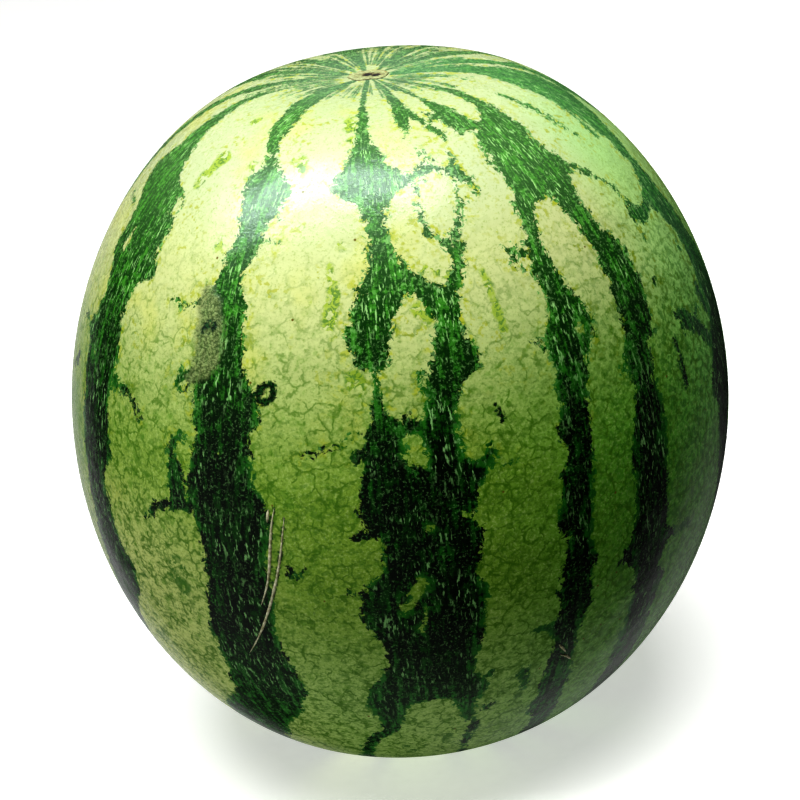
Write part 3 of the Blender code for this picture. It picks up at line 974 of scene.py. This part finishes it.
def blossom_relief(x, y, share):
    """Height of the blossom scar in mm: an oval corky rim round a wrinkled floor with two split pits."""
    turn = math.atan2(y, x)
    rim = 0.45 * math.exp(-(((share - 0.84) / 0.09) ** 2)) * (1 + 0.35 * math.sin(turn + 0.4))
    wrinkles = 0.16 * rough(x, y, 1.3, 3.1) + 0.07 * math.sin(9 * turn + 3 * rough(x, y, 3.0, 8.0)) * share
    filled = 1 - share ** 8
    for (cx, cy), (dx, dy), long, short in BLOSSOM_PITS:
        along, across = (x - cx) * dx + (y - cy) * dy, (y - cy) * dx - (x - cx) * dy
        filled *= 1 - math.exp(-((along / long) ** 2) - (across / short) ** 2)
    return SCAR_EDGE + (0.45 + rim + wrinkles) * filled


def stem_relief(x, y, share):
    """Height of the stem scar in mm: a torn woody ring round a pit."""
    ring = 1.2 * math.exp(-(((share - 0.55) / 0.2) ** 2)) * (1 + 0.3 * rough(x, y, 2.0, 5.0))
    filled = (1 - share ** 8) * (1 - math.exp(-((share / 0.25) ** 2)))
    return SCAR_EDGE + (0.4 + ring + 0.25 * rough(x, y, 1.0, 1.0)) * filled


def make_scars(sizes):
    """The blossom scar on top, and the stem scar in the roof of the hollow underneath."""
    cork = cork_material()
    top, under = (Vector(float(v) for v in rind_point(sizes, 0.0, end)) for end in (90.0, -90.0))
    under.z = sizes["base_z"] + sizes["hollow_depth"]
    make_scar("blossom_scar", blossom_radius, blossom_relief, top, 1, cork)
    make_scar("stem_scar", stem_radius, stem_relief, under, -1, cork)


def scratch_tree():
    """Geometry nodes that run a fine tapering bead along each scratch."""
    tree, given, made = node_group("scratch_beads", ["Geometry", "Bead Radius", "Material"])
    node = partial(add, tree)
    line = node("GeometryNodeMeshToCurve", (given.outputs["Geometry"],))
    line = node("GeometryNodeCurveSplineType", (line,), spline_type="NURBS")
    line = node("GeometryNodeResampleCurve", {"Curve": line, "Length": SCRATCH_STEP * MM},
                mode="LENGTH")
    share = node("GeometryNodeSplineParameter")
    taper = node("SINE", (node("MULTIPLY", (share, math.pi)),))
    taper = node("MAXIMUM", (node("POWER", (taper, 0.5)), 0.15))
    uneven = node("ShaderNodeTexNoise", {"Scale": 300.0, "Detail": 2.0})
    taper = node("MULTIPLY", (taper, node("ADD", (uneven, 0.5))))
    bead = node("GeometryNodeCurvePrimitiveCircle", {
        "Resolution": 8, "Radius": given.outputs["Bead Radius"],
    })
    mesh = node("GeometryNodeCurveToMesh", {"Curve": line, "Profile Curve": bead, "Scale": taper,
                                            "Fill Caps": True})
    return close_tree(tree, given, made, mesh)


def make_scratches(sizes):
    """The scratches, grown along lines that lie on the rind."""
    verts, edges = [], []
    for path in SCRATCHES:
        first = len(verts)
        verts += [rind_point(sizes, lon, lat) * MM for lon, lat in path]
        edges += [(i, i + 1) for i in range(first, len(verts) - 1)]
    lines = bpy.data.meshes.new("scratch_lines")
    lines.from_pydata(verts, edges, [])
    mesh = grown_mesh("scratches", scratch_tree(), {
        "Bead Radius": SCRATCH_RADIUS * MM, "Material": scratch_material(),
    }, lines)
    add_piece("scratches", mesh)


def softbox(middle, name, offset, size, power, along, colour, glossy):
    """A rectangular lamp that faces the middle of the fruit, shown only by gloss or only as soft light."""
    light = bpy.data.lights.new(name, "AREA")
    light.shape = "RECTANGLE"
    light.size, light.size_y = size
    light.energy, light.color = power, colour
    lamp = new_object(name, light)
    offset, along = Vector(offset), Vector(along)
    back = offset.normalized()
    right = (along - back * along.dot(back)).normalized()
    turn = Matrix((right, back.cross(right), back)).transposed()
    lamp.matrix_world = Matrix.Translation(middle + offset) @ turn.to_4x4()
    lamp.visible_glossy, lamp.visible_diffuse = glossy, not glossy


def studio_world():
    """A dark light tent with soft white panels underneath, behind and left, and weaker ones elsewhere."""
    world = bpy.data.worlds.new("light_tent")
    world.use_nodes = True
    tree = world.node_tree
    node = partial(add, tree)
    way = node("ShaderNodeTexCoord", output="Generated")
    glow = TENT_DARK
    for panel, start, strength in TENT_PANELS:
        facing = node("ShaderNodeVectorMath", (way, panel), "Value", operation="DOT_PRODUCT")
        share = node("ShaderNodeMapRange", {"Value": facing, "From Min": start, "To Max": strength},
                     interpolation_type="SMOOTHSTEP")
        glow = node("ADD", (share, glow))
    feed(tree, tree.nodes["Background"], {"Color": linear("#FFFFFF"), "Strength": glow})
    return world


def light_studio(middle):
    """White paper under the fruit, the lamps and the tent."""
    for lamp in LAMPS:
        softbox(middle, *lamp)
    bpy.context.scene.world = studio_world()
    bpy.context.scene.view_settings.view_transform = "Standard"
    bpy.context.scene.view_settings.look = "High Contrast"
    mesh = bpy.data.meshes.new("backdrop_paper")
    corners = [(x * TABLE_REACH, y * TABLE_REACH, 0) for x, y in ((-1, -1), (1, -1), (1, 1), (-1, 1))]
    mesh.from_pydata(corners, [], [(0, 1, 2, 3)])
    mesh.materials.append(paper_material())
    paper = new_object("backdrop_paper", mesh)
    paper.visible_diffuse = paper.visible_glossy = paper.visible_shadow = False


def place_camera(middle, girth):
    """Looks down on the fruit from the front, a little rolled, since the fruit leans left in the view."""
    camera = bpy.data.cameras.new("camera")
    camera.lens = VIEW_LENS
    camera.sensor_width = VIEW_FILM
    camera.shift_x, camera.shift_y = VIEW_SHIFT
    viewer = new_object("camera", camera)
    tilt = math.radians(VIEW_TILT)
    back = Vector((0, -math.cos(tilt), math.sin(tilt)))
    turn = back.to_track_quat("Z", "Y").to_matrix() @ Matrix.Rotation(-math.radians(VIEW_ROLL), 3, "Z")
    viewer.matrix_world = Matrix.Translation(middle + back * VIEW_DISTANCE * girth) @ turn.to_4x4()
    bpy.context.scene.camera = viewer


def main():
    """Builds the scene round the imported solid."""
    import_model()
    sizes = fruit_sizes()
    middle = Vector((sizes["axis_x"], 0, sizes["base_z"] - sizes["rest_height"])) * MM
    make_rind(sizes)
    make_scars(sizes)
    make_scratches(sizes)
    light_studio(middle)
    place_camera(middle, sizes["girth_radius"] * MM)


main()
